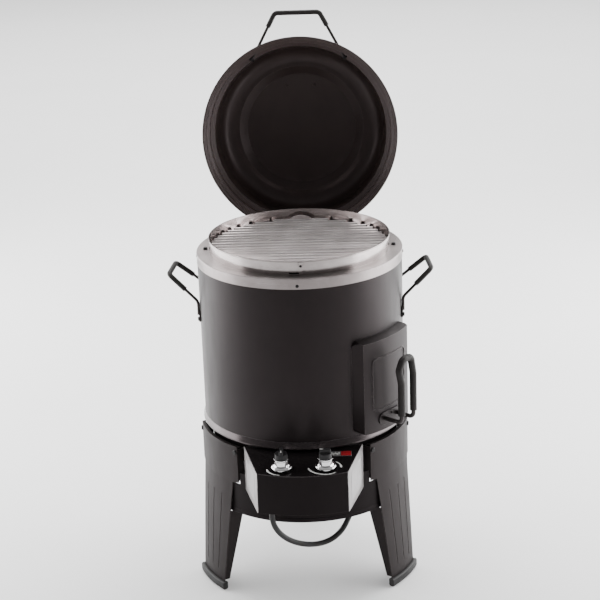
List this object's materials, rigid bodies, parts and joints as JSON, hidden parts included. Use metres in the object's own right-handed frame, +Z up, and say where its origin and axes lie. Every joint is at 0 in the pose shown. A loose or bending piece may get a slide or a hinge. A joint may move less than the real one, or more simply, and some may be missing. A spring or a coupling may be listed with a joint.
{
  "type": "gas smoker",
  "caption": "Upright round gas smoker, roaster and grill: a drum on legs with a hinged lid, drop-in grate, side chip drawer and front control box with two knobs.",
  "frame": {"origin": "on the floor, on the axis of the drum", "axes": "+Z up along the drum's axis, -Y towards the control box at the front, +X to the right seen from the front; the lid hangs open over the back"},
  "size_m": [0.5786, 0.8402, 1.1874],
  "materials": {
    "body_paint": "satin baked enamel",
    "trim": "satin",
    "leg_paint": "matt powder coat",
    "fascia_enamel": "glossy",
    "bare_steel": "brushed",
    "polished_steel": "polished",
    "wire_black": "satin",
    "grip": "spiral texture",
    "foot_plastic": "matt",
    "fastener": "zinc plated",
    "knob_chrome": "plated",
    "knob_black": "semi-gloss",
    "burner_iron": "raw",
    "brass": "machined",
    "zinc": "die cast",
    "hose_rubber": "matt",
    "label": "satin foil"
  },
  "bodies": {
    "base": {"outer_shell": "body_paint", "hinge_bracket": "body_paint", "trim_ring": "trim", "leg_left": "leg_paint", "leg_right": "leg_paint", "leg_rear": "leg_paint", "lower_hoop": "leg_paint", "burner_housing": "leg_paint", "regulator_shelf": "leg_paint", "tray_rails": "leg_paint", "fascia": "fascia_enamel", "control_box": "fascia_enamel", "rim_ring": "bare_steel", "cooking_chamber": "bare_steel", "box_side_left": "bare_steel", "box_side_right": "bare_steel", "heat_shield": "bare_steel", "drawer_guide": "bare_steel", "collar": "polished_steel", "side_handle_left": "wire_black", "side_handle_right": "wire_black", "side_grip_left": "grip", "side_grip_right": "grip", "foot_left": "foot_plastic", "foot_right": "foot_plastic", "foot_rear": "foot_plastic", "rim_screws": "fastener", "side_bolts": "fastener", "frame_bolts": "fastener", "hinge_pin": "fastener", "hose_clips": "fastener", "igniter": "knob_black", "burner": "burner_iron", "burner_posts": "burner_iron", "gas_valve": "brass", "gas_inlet": "brass", "regulator": "zinc", "gas_hose": "hose_rubber", "label_plates": "label"},
    "lid": {"lid_shell": "body_paint", "lid_handle": "wire_black", "lid_grip": "grip", "lid_fasteners": "fastener", "lid_badge": "body_paint", "hinge_arm": "body_paint"},
    "grate": {"cooking_grate": "polished_steel"},
    "drawer": {"drawer_front": "body_paint", "chip_box": "bare_steel", "handle_plate": "body_paint", "drawer_handle": "wire_black", "drawer_grip": "grip"},
    "tray": {"grease_tray": "bare_steel"},
    "valve_push": {"valve_collar": "brass"},
    "gas_knob": {"gas_stem": "fastener", "gas_knob_skirt": "knob_chrome", "gas_knob_cap": "knob_black"},
    "igniter_knob": {"igniter_stem": "fastener", "igniter_knob_skirt": "knob_chrome", "igniter_knob_cap": "knob_black"},
    "nut": {"coupling_nut": "knob_black"}
  },
  "joints": [
    {"name": "lid_hinge", "type": "hinge", "parent": "base", "child": "lid", "pos_m": [0, 0.235, 0.684], "axis": [1, 0, 0], "range_deg": [0, 97.3]},
    {"name": "grate_lift", "type": "slide", "parent": "base", "child": "grate", "axis": [0, 0, 1], "range_m": [0, 0.06]},
    {"name": "drawer_slide", "type": "slide", "parent": "base", "child": "drawer", "axis": [0.7771, -0.6293, 0], "range_m": [0, 0.075]},
    {"name": "tray_slide", "type": "slide", "parent": "base", "child": "tray", "axis": [-0.866, 0.5, 0], "range_m": [0, 0.23]},
    {"name": "gas_knob_push", "type": "slide", "parent": "base", "child": "valve_push", "axis": [0, 0.0941, -0.9956], "range_m": [0, 0.003], "stiffness_N_per_m": 800, "springref_m": -0.002},
    {"name": "gas_knob_turn", "type": "hinge", "parent": "valve_push", "child": "gas_knob", "pos_m": [-0.043, -0.289, 0.34811], "axis": [0, -0.0941, 0.9956], "range_deg": [0, 180]},
    {"name": "igniter_turn", "type": "hinge", "parent": "base", "child": "igniter_knob", "pos_m": [0.0485, -0.289, 0.34811], "axis": [0, -0.0941, 0.9956], "range_deg": [-75, 0], "stiffness_Nm_per_rad": 0.05, "springref_deg": 5.73},
    {"name": "nut_spin", "type": "hinge", "parent": "base", "child": "nut", "pos_m": [0.19338, 0.00899, 0.2315], "axis": [-0.2501, 0.9682, 0], "continuous": true}
  ]
}
